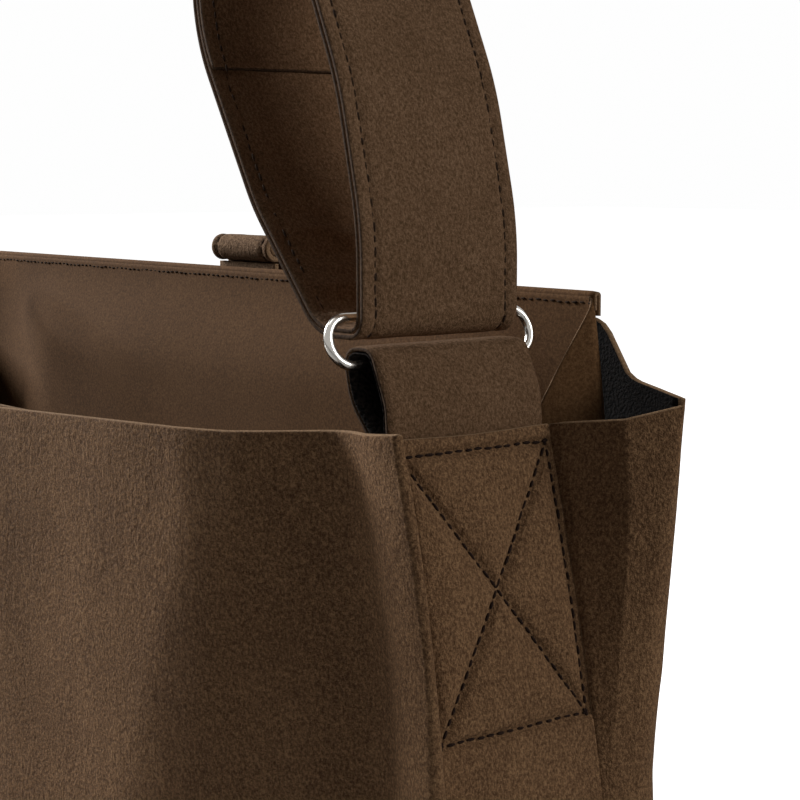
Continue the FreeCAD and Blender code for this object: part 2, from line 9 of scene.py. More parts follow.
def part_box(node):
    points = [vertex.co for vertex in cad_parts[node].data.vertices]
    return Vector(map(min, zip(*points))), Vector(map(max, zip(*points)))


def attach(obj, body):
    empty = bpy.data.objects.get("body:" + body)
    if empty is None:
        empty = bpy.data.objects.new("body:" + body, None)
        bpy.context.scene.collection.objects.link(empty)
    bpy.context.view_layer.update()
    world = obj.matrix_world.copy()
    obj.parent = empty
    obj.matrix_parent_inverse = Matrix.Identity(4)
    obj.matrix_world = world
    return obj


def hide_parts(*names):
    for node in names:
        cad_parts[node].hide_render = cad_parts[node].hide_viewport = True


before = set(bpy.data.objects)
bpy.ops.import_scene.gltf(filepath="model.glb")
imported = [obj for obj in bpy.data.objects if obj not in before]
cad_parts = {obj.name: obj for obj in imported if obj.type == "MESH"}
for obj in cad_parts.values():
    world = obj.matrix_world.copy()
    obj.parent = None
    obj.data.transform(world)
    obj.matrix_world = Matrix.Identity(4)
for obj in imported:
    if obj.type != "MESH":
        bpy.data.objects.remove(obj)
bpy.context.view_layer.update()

MM = 0.001
X, Y, Z = np.eye(3)

# ---------------------------------------------------------------- outer leather body
# Four panels of 2 mm nubuck stand up as a tote. The front and back wrap round soft corner folds and
# come in to the end strips, so the ends are folded inwards. Rims are raw cut, the reverse is black
# flock. It stands by its own stiffness: the front bellies out and dips in beside the corner folds.

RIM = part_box("right_end_strip")[1].z / MM
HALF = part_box("right_end_strip")[1].y / MM
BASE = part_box("base_panel")[1].x / MM
SPAN = 170.0            # the end strips' outer faces at the rim
LEVELS = (2.0, 147.0, RIM)
HIDE_THICK = 1.9
FOOT_GAP = 1.2          # walls' lower edge, above the floor


def through(values, z):
    """The parabola through three values at the wall's three levels."""
    a, b, c = LEVELS
    return (values[0] * (z - b) * (z - c) / ((a - b) * (a - c))
            + values[1] * (z - a) * (z - c) / ((b - a) * (b - c))
            + values[2] * (z - a) * (z - b) / ((c - a) * (c - b)))


def smooth_step(low, high, value):
    """0 to 1 as value goes from low to high, with soft ends."""
    share = np.clip((value - low) / (high - low), 0.0, 1.0)
    return share * share * (3.0 - 2.0 * share)


def fractal(points, scale, octaves, seed):
    """Smooth noise from about -1 to 1 at an array of points in millimetres."""
    flat = points.reshape(-1, 3) * np.asarray(scale, float) + seed
    return np.array([noise.fractal(Vector(p), 0.8, 2.1, octaves) for p in flat]).reshape(points.shape[:-1])


def unit(vectors):
    """The same directions with length 1."""
    return vectors / (np.linalg.norm(vectors, axis=-1, keepdims=True) + 1e-12)


def rounded_line(points, radii, counts=None, step=3.0):
    """Points along an open line with rounded corners. Straight runs are split by counts or step.

    A corner takes at most 0.9 of the run on either side, so that two neighbours never overlap.
    """
    points = [np.array(p, float) for p in points]
    arcs = [[points[0]]]
    for before, here, after, radius in zip(points, points[1:], points[2:], radii):
        u, v = unit(here - before), unit(after - here)
        turn = math.atan2(u[0] * v[1] - u[1] * v[0], u @ v)
        room = 0.9 * min(np.linalg.norm(here - before), np.linalg.norm(after - here))
        reach = min(radius * math.tan(abs(turn) / 2), room)
        spoke = math.copysign(reach / math.tan(abs(turn) / 2), turn) * np.array([u[1], -u[0]])
        centre = here - u * reach - spoke
        bends = np.linspace(0, turn, 9)
        arcs.append([centre + [spoke[0] * math.cos(a) - spoke[1] * math.sin(a),
                               spoke[0] * math.sin(a) + spoke[1] * math.cos(a)] for a in bends])
    arcs.append([points[-1]])
    line = []
    for i, (arc, following) in enumerate(zip(arcs, arcs[1:])):
        line += arc
        gap = following[0] - arc[-1]
        parts = counts[i] if counts else max(1, round(np.linalg.norm(gap) / step))
        line += [arc[-1] + gap * k / parts for k in range(1, parts)]
    return np.array(line + [points[-1]])


def evenly(line, step):
    """The same line in equal steps."""
    run = np.concatenate([[0], np.cumsum(np.linalg.norm(np.diff(line, axis=0), axis=1))])
    at = np.linspace(0, run[-1], max(2, round(run[-1] / step) + 1))
    return np.stack([np.interp(at, run, line[:, k]) for k in range(line.shape[1])], 1)


def solid(name, vertices, faces, finishes, marks, body, nodes=()):
    """A closed piece from points in millimetres. marks gives each face's place in finishes."""
    mesh = bpy.data.meshes.new(name)
    mesh.from_pydata((np.asarray(vertices) * MM).tolist(), [], [list(map(int, f)) for f in faces])
    for finish in finishes:
        mesh.materials.append(finish)
    mesh.polygons.foreach_set("material_index", marks)
    mesh.polygons.foreach_set("use_smooth", [True] * len(mesh.polygons))
    skin = bmesh.new()
    skin.from_mesh(mesh)
    bmesh.ops.remove_doubles(skin, verts=skin.verts, dist=1e-6)
    bmesh.ops.recalc_face_normals(skin, faces=skin.faces)
    skin.to_mesh(mesh)
    skin.free()
    piece = bpy.data.objects.new(name, mesh)
    bpy.context.scene.collection.objects.link(piece)
    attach(piece, body)
    if nodes:
        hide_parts(*nodes)
    return piece


def normals_of(grid):
    """Unit normals of a sheet of points, from its rows and columns."""
    return unit(np.cross(np.gradient(grid, axis=1), np.gradient(grid, axis=0)))


def thick_sheet(name, grid, thickness, finishes, body, nodes, closed=False):
    """A sheet of leather: grid is its outer face. Its cut edges are slightly rounded."""
    rows, columns = grid.shape[:2]
    inner = grid - normals_of(grid) * thickness
    number = np.arange(rows * columns).reshape(rows, columns)
    squares = np.stack([number[:-1, :-1], number[:-1, 1:], number[1:, 1:], number[1:, :-1]], -1)
    squares = squares.reshape(-1, 4)
    if closed:
        borders = [(number[-1], number[-2]), (number[0][::-1], number[1][::-1])]
    else:
        loop = [number[0, :-1], number[:-1, -1], number[-1, :0:-1], number[:0:-1, 0]]
        near = [number[1, :-1], number[:-1, -2], number[-2, :0:-1], number[:0:-1, 1]]
        loop, near = np.concatenate(loop), np.concatenate(near)
        borders = [(np.append(loop, loop[0]), np.append(near, near[0]))]
    outer_points, inner_points = grid.reshape(-1, 3), inner.reshape(-1, 3)
    vertices = [outer_points, inner_points]
    faces = [squares, squares[:, ::-1] + rows * columns]
    marks = [0] * len(squares) + [1] * len(squares)
    count = 2 * rows * columns
    for border, within in borders:
        away = unit(outer_points[border] - outer_points[within])
        vertices.append((outer_points[border] + inner_points[border]) / 2 + away * 0.2 * thickness)
        middle = count + np.arange(len(border))
        count += len(border)
        faces.append(np.stack([border[:-1], border[1:], middle[1:], middle[:-1]], -1))
        far = border + rows * columns
        faces.append(np.stack([middle[:-1], middle[1:], far[1:], far[:-1]], -1))
        marks += [2] * (2 * len(border) - 2)
    return solid(name, np.concatenate(vertices), np.concatenate(faces), finishes, marks, body,
                 nodes)


def linear(text):
    """An sRGB hex colour as linear RGBA."""
    values = [int(text[i:i + 2], 16) / 255 for i in (1, 3, 5)]
    return tuple(v / 12.92 if v <= 0.04045 else ((v + 0.055) / 1.055) ** 2.4 for v in values) + (1.0,)


def add(tree, kind, settings=None, *places, **sockets):
    """A new node. places fill its sockets in order and sockets fill them by name."""
    node = tree.nodes.new(kind)
    for key, value in (settings or {}).items():
        setattr(node, key, value)
    named = [(node.inputs[key.replace("_", " ")], value) for key, value in sockets.items()]
    for socket, value in list(zip(node.inputs, places)) + named:
        if isinstance(value, bpy.types.NodeSocket):
            tree.links.new(value, socket)
        else:
            socket.default_value = value
    return node


def weigh(tree, *terms):
    """The sum of sockets times weights."""
    total = 0.0
    for value, weight in terms:
        total = add(tree, "ShaderNodeMath", {"operation": "MULTIPLY_ADD"}, value, weight,
                    total).outputs[0]
    return total


def new_material(name):
    """An empty material and its node tree."""
    material = bpy.data.materials.new(name)
    material.use_nodes = True
    material.node_tree.nodes.clear()
    return material, material.node_tree


def ramp(tree, factor, stops):
    """A colour ramp from (position, hex) pairs."""
    node = add(tree, "ShaderNodeValToRGB", None, factor)
    band = node.color_ramp
    while len(band.elements) < len(stops):
        band.elements.new(0.5)
    for element, (position, colour) in zip(band.elements, stops):
        element.position = position
        element.color = linear(colour)
    return node.outputs["Color"]


def finish_with(tree, shader):
    """The shader goes to the material's surface."""
    add(tree, "ShaderNodeOutputMaterial", None, shader.outputs[0])


def nubuck(name, shades, relief=0.58, upright=0.85, creased=1.0):
    """Buffed hide: a nap of short fibres over pebbled grain about 1 mm across, with fine creases."""
    material, tree = new_material(name)
    place = add(tree, "ShaderNodeTexCoord").outputs["Object"]
    stretched = add(tree, "ShaderNodeMapping", None, place, Scale=(1.0, 1.0, upright)).outputs[0]
    # grain pebbles, 0.8 mm
    pebble = add(tree, "ShaderNodeTexNoise", None, stretched, Scale=1300.0, Detail=2.5, Roughness=0.6,
                 Distortion=0.25).outputs["Fac"]
    # clumps of pebbles, 2.5 mm
    clump = add(tree, "ShaderNodeTexNoise", None, stretched, Scale=400.0, Detail=2.0, Roughness=0.5,
                Distortion=0.3).outputs["Fac"]
    # fibres of the nap, 0.3 mm
    nap = add(tree, "ShaderNodeTexNoise", None, place, Scale=3200.0, Detail=1.5).outputs["Fac"]
    # rubbed and unrubbed patches, 25 mm
    patch = add(tree, "ShaderNodeTexNoise", None, place, Scale=38.0, Detail=4.0,
                Roughness=0.6).outputs["Fac"]
    # upright creases where the hide has bent, about 10 mm apart and 40 mm long
    long_way = add(tree, "ShaderNodeMapping", None, place, Scale=(1.0, 1.0, 0.22)).outputs[0]
    bent = add(tree, "ShaderNodeTexNoise", None, long_way, Scale=130.0, Detail=4.0, Roughness=0.65,
               Distortion=1.6).outputs["Fac"]
    ridge = add(tree, "ShaderNodeMath", {"operation": "PINGPONG"}, bent, 0.5).outputs[0]
    crease = add(tree, "ShaderNodeMapRange", None, ridge, From_Min=0.5, From_Max=0.44).outputs[0]
    tone = weigh(tree, (pebble, 0.60), (nap, 0.34), (clump, 0.06), (patch, 0.14))
    colour = ramp(tree, tone, [(0.44, shades[0]), (0.57, shades[1]), (0.70, shades[2])])
    height = weigh(tree, (pebble, 1.0), (clump, 0.8), (nap, 0.25), (crease, 0.10 * creased))
    bump = add(tree, "ShaderNodeBump", None, Strength=1.0, Distance=relief * MM, Height=height)
    finish_with(tree, add(tree, "ShaderNodeBsdfPrincipled", None, colour, Roughness=0.88,
                          Normal=bump.outputs[0], Specular_IOR_Level=0.08, Sheen_Weight=0.02,
                          Sheen_Roughness=0.5, Sheen_Tint=linear("#a98a68")))
    return material


def fibrous(name, shades, size, depth, roughness=0.85):
    """Loose fibres or loops of one size, in millimetres."""
    material, tree = new_material(name)
    place = add(tree, "ShaderNodeTexCoord").outputs["Object"]
    fibre = add(tree, "ShaderNodeTexNoise", None, place, Scale=1000.0 / size, Detail=3.0).outputs["Fac"]
    colour = ramp(tree, fibre, [(0.38, shades[0]), (0.62, shades[1])])
    bump = add(tree, "ShaderNodeBump", None, Strength=1.0, Distance=depth * MM, Height=fibre)
    finish_with(tree, add(tree, "ShaderNodeBsdfPrincipled", None, colour, Roughness=roughness,
                          Normal=bump.outputs[0], Specular_IOR_Level=0.06))
    return material


body_hide = nubuck("buffed nubuck hide", ("#4b3523", "#694e36", "#88694b"))
raw_edge = fibrous("raw cut edge", ("#6b543e", "#8f7357"), 0.5, 0.08)
flock = fibrous("black flocked reverse", ("#080707", "#1a1614"), 0.8, 0.4)


def ear_edge(z, behind):
    """The corner fold at a height: its end, its depth from the middle and its bend radius."""
    if behind:
        heights = [2, 147, 172, 197, 222, 240]
        swell = np.interp(z, heights, [0, -4.2, -0.5, 1.6, 2.9, 2.9])
        radius = np.interp(z, heights, [22, 10.5, 7.5, 5.5, 3.5, 1.6])
        ear = through((BASE, SPAN + 30.0, SPAN + 27.0), z) + swell
        return ear, through((52.0, 46.0, 46.0), z), radius
    radius = np.interp(z, [2, 60, 147, 185, 240], [22, 14, 3.0, 1.4, 1.0])
    return through((BASE, SPAN + 36.5, SPAN + 28.7), z), through((52.0, 38.8, 46.0), z), radius


def strip_face(z):
    """How far out the end strip's face stands at a height."""
    return through((BASE - 0.5, SPAN + 21.0, SPAN), z)


def panel(behind, heights, rows):
    """The front or back panel's outer face, from the right strip round to the left one."""
    # rows crowd towards the rim, and the last pair stands close for a crisp edge
    shares = np.append(np.linspace(0, 1, rows) ** 0.92 * 0.9985, 1.0)
    grid = None
    for r, height in enumerate(shares):
        level = min(FOOT_GAP + height * 240.0, RIM)
        ear, depth, radius = ear_edge(level, behind)
        strip = strip_face(level)
        # the flank between strip and corner fold bows at this share of its width
        share = (0.15 + 0.5 * smooth_step(120.0, 230.0, level)) if behind else 0.2
        fullness = 0.56 if behind else 1.04
        bow = (strip + share * (ear - strip), HALF + share * fullness * (depth - HALF))
        corners = [(strip, HALF), bow, (ear, depth), (-ear, depth), (-bow[0], bow[1]), (-strip, HALF)]
        line = rounded_line(corners, [2, radius, radius, 2], [5, 6, 170, 6, 5])
        if grid is None:
            grid = np.zeros((len(shares), len(line), 3))
        grid[r, :, :2] = line
        grid[r, :, 2] = height
    x, y = grid[..., 0], grid[..., 1]
    grid[..., 2] = FOOT_GAP + grid[..., 2] * (heights(x[-1], y[-1]) - FOOT_GAP)
    z = grid[..., 2]
    folds = np.array([ear_edge(min(level, RIM), behind)[:2] for level in z[:, 0]])
    ears, depths = folds[:, :1], folds[:, 1:]
    from_fold = ears - np.abs(x)
    flat = smooth_step(0.62, 0.97, np.abs(y) / depths)
    if behind:
        out = 1.8 * smooth_step(10.0, 120.0, from_fold)
    else:
        # a belly in the middle, and a valley beside each corner fold
        far = 78.0 + 45.0 * np.clip((RIM - 20.0 - z) / 100.0, 0, 1)
        belly = (57.2 - depths) * smooth_step(26.0, far, from_fold)
        out = belly - 5.2 * np.exp(-((from_fold - 29.0) / 13.0) ** 2)
    y += out * flat * (0.12 + 0.88 * smooth_step(0.0, 110.0, z))
    if not behind:
        grid[..., 1] *= -1.0
        grid = grid[:, ::-1]
    # the hide sways in long waves and creases in short ones, but not at the seams or the base
    slack = smooth_step(2.0, 26.0, np.abs(grid[..., 1]) - HALF) * smooth_step(10.0, 70.0, z)
    sway = fractal(grid, (0.011, 0.011, 0.007), 2, 4.0) * 1.8
    crease = fractal(grid, (0.07, 0.07, 0.03), 3, 9.0) * 0.16
    grid = grid + normals_of(grid) * ((sway + crease) * slack)[..., None]
    # the walls turn in under the bag
    tuck = np.clip(1.0 - grid[..., 2:] / 7.0, 0, 1) ** 2 * 2.2
    grid[..., :2] -= np.sign(grid[..., :2]) * tuck
    return grid


def rim_heights(across, rise):
    """The rim from the strips over the flanks, then as rise says at distances beyond the strips."""
    return lambda x, y: RIM + np.where(y > 44.5, np.interp(np.abs(x) - SPAN, across, rise),
                                       6.0 * np.clip((y - HALF) / 20.0, 0, 1))


HIDE = (body_hide, flock, raw_edge)
front_rim = rim_heights([-170, -141, -84, -42, -30, 3, 12, 27],
                        [-3.4, -3.0, -0.5, 1.3, 1.6, 3.8, 4.4, 6.0])
back_rim = rim_heights([-31, -4.5, 0, 8.5, 12, 27], [26, 26, 24.0, 12.0, 10.6, 7.6])
for name, behind, rim in (("front", False, front_rim), ("back", True, back_rim)):
    thick_sheet(f"{name}_of_bag", panel(behind, rim, 100), HIDE_THICK, HIDE, "bag",
                [f"{name}_panel"])

# the strip's boxed cross of stitching, as (y, height above the rim) ends of its six seams
LEFT, RIGHT, TOP, FOOT = -HALF + 1.2, HALF - 1.2, -4.2, -71.2
SEAMS = [((LEFT, TOP), (RIGHT, TOP)), ((LEFT, FOOT), (RIGHT, FOOT)), ((LEFT, TOP), (LEFT, FOOT)),
         ((RIGHT, TOP), (RIGHT, FOOT)), ((LEFT, TOP), (RIGHT, FOOT)), ((RIGHT, TOP), (LEFT, FOOT))]


def strip_relief(y, z):
    """Height of the padded strip above its plain face: cushions between pulled-down seams."""
    nearest = np.full(y.shape, 99.0)
    for start, end in SEAMS:
        a, b = np.array(start), np.array(end)
        p = np.stack([y, z - RIM], -1) - a
        share = np.clip(p @ (b - a) / ((b - a) @ (b - a)), 0, 1)
        nearest = np.minimum(nearest, np.linalg.norm(p - share[..., None] * (b - a), axis=-1))
    boxed = (z - RIM > FOOT) & (z - RIM < TOP)
    cushion = np.where(boxed, 1.2 * (1 - np.exp(-(nearest / 5.0) ** 2)), 0)
    groove = 1.6 * np.exp(-(nearest / 1.1) ** 2)
    return cushion - groove


for side, name in ((1, "right"), (-1, "left")):
    heights = np.concatenate([np.linspace(FOOT_GAP, 160, 60, endpoint=False),
                              np.linspace(160, RIM - 0.3, 116), [RIM]])
    z, y = np.meshgrid(heights, np.linspace(-HALF, HALF, 73) * side, indexing="ij")
    z = z - 0.5 * smooth_step(0, HALF, HALF - np.abs(y)) * (z / RIM) ** 8
    x = strip_face(z) + strip_relief(y, z) - 2.2 * np.clip(1 - z / 7.0, 0, 1) ** 2
    face = np.stack([x * side, y, z], -1)
    face[..., 0] += side * 0.12 * fractal(face, (0.12, 0.12, 0.08), 2, 2.0)
    thick_sheet(f"{name}_strip", face, HIDE_THICK, HIDE, "bag", [f"{name}_end_strip"])

# ---------------------------------------------------------------- base
# A leather panel under the bag, a stiffening board, and a thin leather cover over the board.

board_finish = fibrous("grey stiffening board", ("#5c5852", "#6f6a62"), 0.6, 0.05)
lining_hide = nubuck("smooth lining hide", ("#4c3520", "#5e4229", "#6f5236"), 0.05, 1.0, 0.0)
for name, corner, finish, slot in (("base_panel", 23.0, body_hide, "body_leather"),
                                   ("base_board", 13.0, board_finish, "stiffening_board"),
                                   ("base_lining", 13.0, lining_hide, "lining_leather")):
    low, high = (np.array(v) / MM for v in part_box(name))
    rings = []
    # four outlines up the plate's side, with its edges broken by half a millimetre
    for inset, z in ((0.5, low[2]), (0, low[2] + 0.4), (0, high[2] - 0.4), (0.5, high[2])):
        a, b = high[0] - inset, high[1] - inset
        outline = [(0, -b), (a, -b), (a, b), (-a, b), (-a, -b), (0, -b)]
        ring = rounded_line(outline, [corner] * 4, step=8.0)[:-1]
        rings.append(np.column_stack([ring, np.full(len(ring), z)]))
    n = len(rings[0])
    faces = [list(range(n))[::-1], list(range(3 * n, 4 * n))]
    for level in range(3):
        faces += [[level * n + k, level * n + (k + 1) % n, (level + 1) * n + (k + 1) % n,
                   (level + 1) * n + k] for k in range(n)]
    solid(f"{name}_plate", np.concatenate(rings), faces, [finish], [0] * len(faces), "bag", [name])

# ---------------------------------------------------------------- lining
# Thinner, smoother leather inside the body. At the back it stands 7 mm above the outer panel, with
# its top folded over outwards and stitched. Its rim drops along the ends to the strips.

lining_edge = fibrous("lining cut edge", ("#5f4c3a", "#84694f"), 0.4, 0.05)
LINING_THICK = 1.3
BACK_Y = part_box("back_lining")[1].y / MM - 1.4
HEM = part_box("back_lining")[1].z / MM
LINING_FOOT = 5.0       # lining's lower edge, above the floor
BACK_RISE = HEM - RIM - 1.5

shares = np.append(np.linspace(0, 0.996, 70), 1.0)
lining = None
for r, share in enumerate(shares):
    z = LINING_FOOT + share * (RIM - LINING_FOOT)
    end = through((BASE - 7.0, SPAN + 14.0, SPAN - 7.0), z)
    flare = 0.6 + 4.6 * smooth_step(150.0, 240.0, z)
    radius = through((16.0, 8.0, 2.0), z)
    front_y = -through((48.0, 46.0, 54.3), z)
    corners = [(0, front_y), (112, front_y), (150, -40), (end - 6, -31), (end, -24), (end, HALF),
               (end + flare, BACK_Y)]
    corners += [(-x, y) for x, y in corners[::-1]]
    radii = [40.0, 20.0, 4.0, 2.0, 6.0, radius]
    counts = [40, 20, 15, 4, 30, 12]
    line = rounded_line(corners, radii + radii[::-1], counts + [170] + counts[::-1])
    if lining is None:
        lining = np.zeros((len(shares), len(line), 3))
    lining[r, :, :2] = line
    lining[r, :, 2] = share
x, y = lining[-1, :, 0], lining[-1, :, 1]
rise = np.interp(y, [-46, -31, -23, 20, 25, 33, 40, 43], [-3, -4, -12, -12, -1, 14, 26, BACK_RISE])
tops = RIM + np.where(y > 43.2, BACK_RISE, np.where(np.abs(x) < 150, -3.0, rise))
lining[..., 2] = LINING_FOOT + lining[..., 2] * (tops - LINING_FOOT)
# it hangs loose from the back wall, most in the middle
slack = smooth_step(15.0, 60.0, lining[..., 2]) * smooth_step(0.0, 34.0, tops - lining[..., 2])
loose = 6.5 * smooth_step(166.0, 112.0, np.abs(lining[..., 0]))
loose = loose + fractal(lining, (0.012, 0.012, 0.010), 2, 31.0)
lining[..., 1] -= loose * slack * (lining[..., 1] > 40)
thick_sheet("inner_lining", lining, LINING_THICK, (lining_hide, lining_hide, lining_edge), "bag",
            ["front_lining", "back_lining", "right_end_lining", "left_end_lining"],
            closed=True)


def strip_section(half, near, far, groove_at=None, pad=0.15, rows=25):
    """A band's cross-section as (out, across) points: the worked face, then the plain one back.

    near and far are the two faces' distances from the band's path. The worked face is padded, its
    edges are rounded, and a seam pulls a groove into it on each side.
    """
    across = np.linspace(-half, half, rows)
    if groove_at:
        fine = groove_at + np.array([-2.4, -1.2, -0.6, 0, 0.6, 1.2, 2.0])
        fine = np.concatenate([fine, [half - 0.7, half - 0.3, half - 0.1]])
        across = np.unique(np.concatenate([np.linspace(-half + 6, half - 6, 13), fine, -fine, [-half, half]]))
    toward = math.copysign(1.0, far - near)
    edge = np.clip((np.abs(across) - half + 0.7) / 0.7, 0, 1) ** 2
    worked = far + toward * (pad - 0.35 * edge)
    if groove_at:
        worked -= toward * 0.55 * np.exp(-((np.abs(across) - groove_at) / 0.8) ** 2)
    plain = near + toward * 0.2 * edge
    loop = np.concatenate([np.stack([worked, across], 1), np.stack([plain, across], 1)[::-1]])
    return loop, len(across)


def band(name, path, plane, half, section, finishes, body, slot, nodes, wear=0.15, ruffle=None):
    """A strip of leather swept along a path in the plane of two axes, straight along the third."""
    loop, worked = section
    a, b = plane
    width = np.cross(b, a)
    along = unit(np.gradient(path, axis=0))
    out = along[:, 1:] * a - along[:, :1] * b
    line = path[:, :1] * a + path[:, 1:] * b
    points = line[:, None] + out[:, None] * loop[None, :, :1] + width * loop[None, :, 1:]
    give = np.zeros(len(loop))
    give[:worked] = smooth_step(0.0, 1.2, half - np.abs(loop[:worked, 1]))
    bumps = fractal(points[:, :worked], (0.14, 0.07, 0.14), 3, 17.0) * wear
    if ruffle is not None:
        bumps = bumps + ruffle(points[:, :worked])
    points[:, :worked] += out[:, None] * (bumps * give[:worked])[..., None]
    rows, columns = points.shape[:2]
    number = np.arange(rows * columns).reshape(rows, columns)
    turned = np.roll(number, -1, 1)
    squares = np.stack([number[:-1], turned[:-1], turned[1:], number[1:]], -1)
    marks = np.zeros(squares.shape[:2], int)
    marks[:, [worked - 1, columns - 1]] = 1
    faces = squares.reshape(-1, 4).tolist() + [number[0][::-1].tolist(), number[-1].tolist()]
    marks = marks.ravel().tolist() + [1, 1]
    return solid(name, points.reshape(-1, 3), faces, finishes, marks, body, nodes)


hem_half = SPAN - 2.0
hem = rounded_line([(BACK_Y + 0.75, HEM - 6.5), (BACK_Y + 0.75, HEM - 0.65), (BACK_Y - 0.65, HEM - 0.65),
                    (BACK_Y - 0.65, HEM - 5.0)], [0.68, 0.68], step=0.8)
band("rolled_hem", hem, (Y, Z), hem_half, strip_section(hem_half, 0.6, -0.6, rows=160),
     (lining_hide, lining_edge), "bag", "lining_leather", (), wear=0.08)

# ---------------------------------------------------------------- ring tabs
# A strip of leather folded over the ring's lower bar and sewn down inside the end strip. Coarse black
# webbing lines the fold, and shows in its open sides.

strap_hide = nubuck("nubuck strap hide", ("#4b3824", "#634a35", "#795f48"), 0.46, 0.9, 0.8)
strap_edge = fibrous("burnished strap edge", ("#33261c", "#4f3d2e"), 0.6, 0.12)
webbing = fibrous("coarse black webbing", ("#050505", "#332c28"), 1.0, 1.0)
ring_low, ring_high = (np.array(v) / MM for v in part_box("right_ring"))
WIRE_RADIUS = 1.25
BAR_X, BAR_Z = ring_high[0] - WIRE_RADIUS, ring_low[2] + WIRE_RADIUS    # ring's lower bar
tab_line = [(SPAN + 13.0, RIM - 72), (SPAN - 3.2, RIM), (SPAN - 3.8, RIM + 8),
            (BAR_X + 4.5, BAR_Z + 3.6), (BAR_X - 6, BAR_Z + 3.6), (BAR_X - 3, BAR_Z - 9),
            (SPAN - 4.2, RIM - 6), (SPAN + 10.7, RIM - 72)]
tab_path = evenly(rounded_line(tab_line, [12, 10, 3.5, 3.5, 15, 10]), 1.2)


def thickened(points):
    """The webbing is doubled below the bar."""
    z = points[..., 2]
    return -1.2 * smooth_step(BAR_Z - 3, BAR_Z - 8, z) * smooth_step(RIM - 12, RIM - 6, z)


for side, name in ((1, "right"), (-1, "left")):
    plane = (X * side, Z)
    for layer, near, far, finishes, slot, fold in (
            ("leather", -0.3, 1.0, (strap_hide, strap_edge), "strap_leather", None),
            ("backing", -0.4, -1.1, (webbing, webbing), "black_textile", thickened)):
        section = strip_section(HALF, near, far, pad=0.05)
        band(f"{name}_tab_{layer}_fold", tab_path, plane, HALF, section, finishes, "bag", slot,
             [f"{name}_tab_{layer}"], ruffle=fold)

# ---------------------------------------------------------------- rings and slider
# Bent nickel-plated wire, 2.5 mm thick, polished bright with fine wear.

nickel, tree = new_material("polished nickel plate")
place = add(tree, "ShaderNodeTexCoord").outputs["Object"]
rubbed = add(tree, "ShaderNodeTexNoise", None, place, Scale=900.0, Detail=3.0).outputs["Fac"]
gloss = add(tree, "ShaderNodeMapRange", None, rubbed, To_Min=0.14, To_Max=0.30).outputs[0]
finish_with(tree, add(tree, "ShaderNodeBsdfPrincipled", None, linear("#d9d4cc"), 1.0, gloss))
for name in ("right_ring", "left_ring", "slider", "front_stud_back"):
    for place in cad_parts[name].material_slots:
        place.material = nickel

# ---------------------------------------------------------------- carrying strap
# Two hides sewn back to back along both edges. From the loop round the slider's middle bar it runs
# down, round the right ring, up through the slider, over the arch and round the left ring.

UX, UZ = ring_low[0] + WIRE_RADIUS, ring_high[2] - WIRE_RADIUS          # ring's upper bar
EYE = 4.1                                                               # strap's bend round it
SEAM_IN = 4                                                             # seams, in from the edges
arch = [(UX + EYE, UZ - EYE), (UX + EYE, RIM + 50), (UX - 4.3, RIM + 85), (UX * 0.82, RIM + 135),
        (UX * 0.433, RIM + 190), (UX * 0.197, RIM + 202)]
arch = arch + [(-x, z) for x, z in arch[::-1]]
arch_radii = [EYE, 80, 90, 40, 60, 100, 100, 60, 40, 90, 80, EYE]
# the slider's middle bar hangs 4.88 mm inside the arch's straight run, and the loop is square to it
run_low, run_high = np.array(arch[3]), np.array(arch[4])
along = unit(run_high - run_low)
inward = np.array([-along[1], -along[0]]) * [1, -1]
middle_bar = run_low + along * np.linalg.norm(run_high - run_low) * 0.468 + inward * 4.88
loop = [middle_bar + along * f + inward * d
        for f, d in ((-4.58, 3), (-4.58, -1.58), (4.58, -1.58), (4.58, 3))]
leg = [(UX - 68.3, RIM + 125), (UX - 66.3, RIM + 99), (UX - 40.3, RIM + 55), (UX - 13.3, UZ - EYE)]
turned_end = [(leg[1][0] + 6.9, leg[1][1] - 8.7), (leg[1][0] + 1.5, leg[1][1] + 0.5),
              (leg[0][0] + 1.55, leg[0][1])]
tail = [(-UX + EYE, UZ - EYE), (-UX + EYE, UZ + 3.6), (-UX + 1.3, UZ + 30.6), (-UX + 5.0, UZ + 46.2)]
strap_line = turned_end + loop + leg + arch + tail
strap_radii = [46, 12, 5, 1.58, 1.58, 6, 30, 50, 60, 14] + arch_radii + [EYE, 15, 20]
strap_path = evenly(rounded_line(strap_line, strap_radii), 1.5)


def crumpled(points):
    """Creases across the inner leg, where the strap is bent most often."""
    x, z = points[..., 0], points[..., 2]
    inner_leg = smooth_step(0, 6, 146 - x) * smooth_step(0, 20, x - 70) * smooth_step(0, 10, 345 - z)
    depth = 0.9 + 1.0 * smooth_step(305, 285, z)
    return inner_leg * fractal(points, (0.05, 0.03, 0.14), 3, 40.0) * depth


band("strap_outer_hide", strap_path, (X, Z), HALF, strip_section(HALF, 0.06, 1.45, HALF - SEAM_IN),
     (strap_hide, strap_edge), "carrying_strap", "strap_leather", ["strap_leather"], 0.2)
# the backing begins on the inner leg, below the turned end
start = next(k for k, (x, z) in enumerate(strap_path) if k > 40 and x < 90 and z < RIM + 112)
backing_path = strap_path[start:]
band("strap_inner_hide", backing_path, (X, Z), HALF, strip_section(HALF, -0.06, -1.4, HALF - SEAM_IN),
     (strap_hide, strap_edge), "carrying_strap", "strap_backing_leather", ["strap_backing"], 0.2,
     crumpled)

# ---------------------------------------------------------------- closing strap
# A strap sewn to the outside of the back. It folds over above the hem and hangs down behind, with a
# press stud near its end.

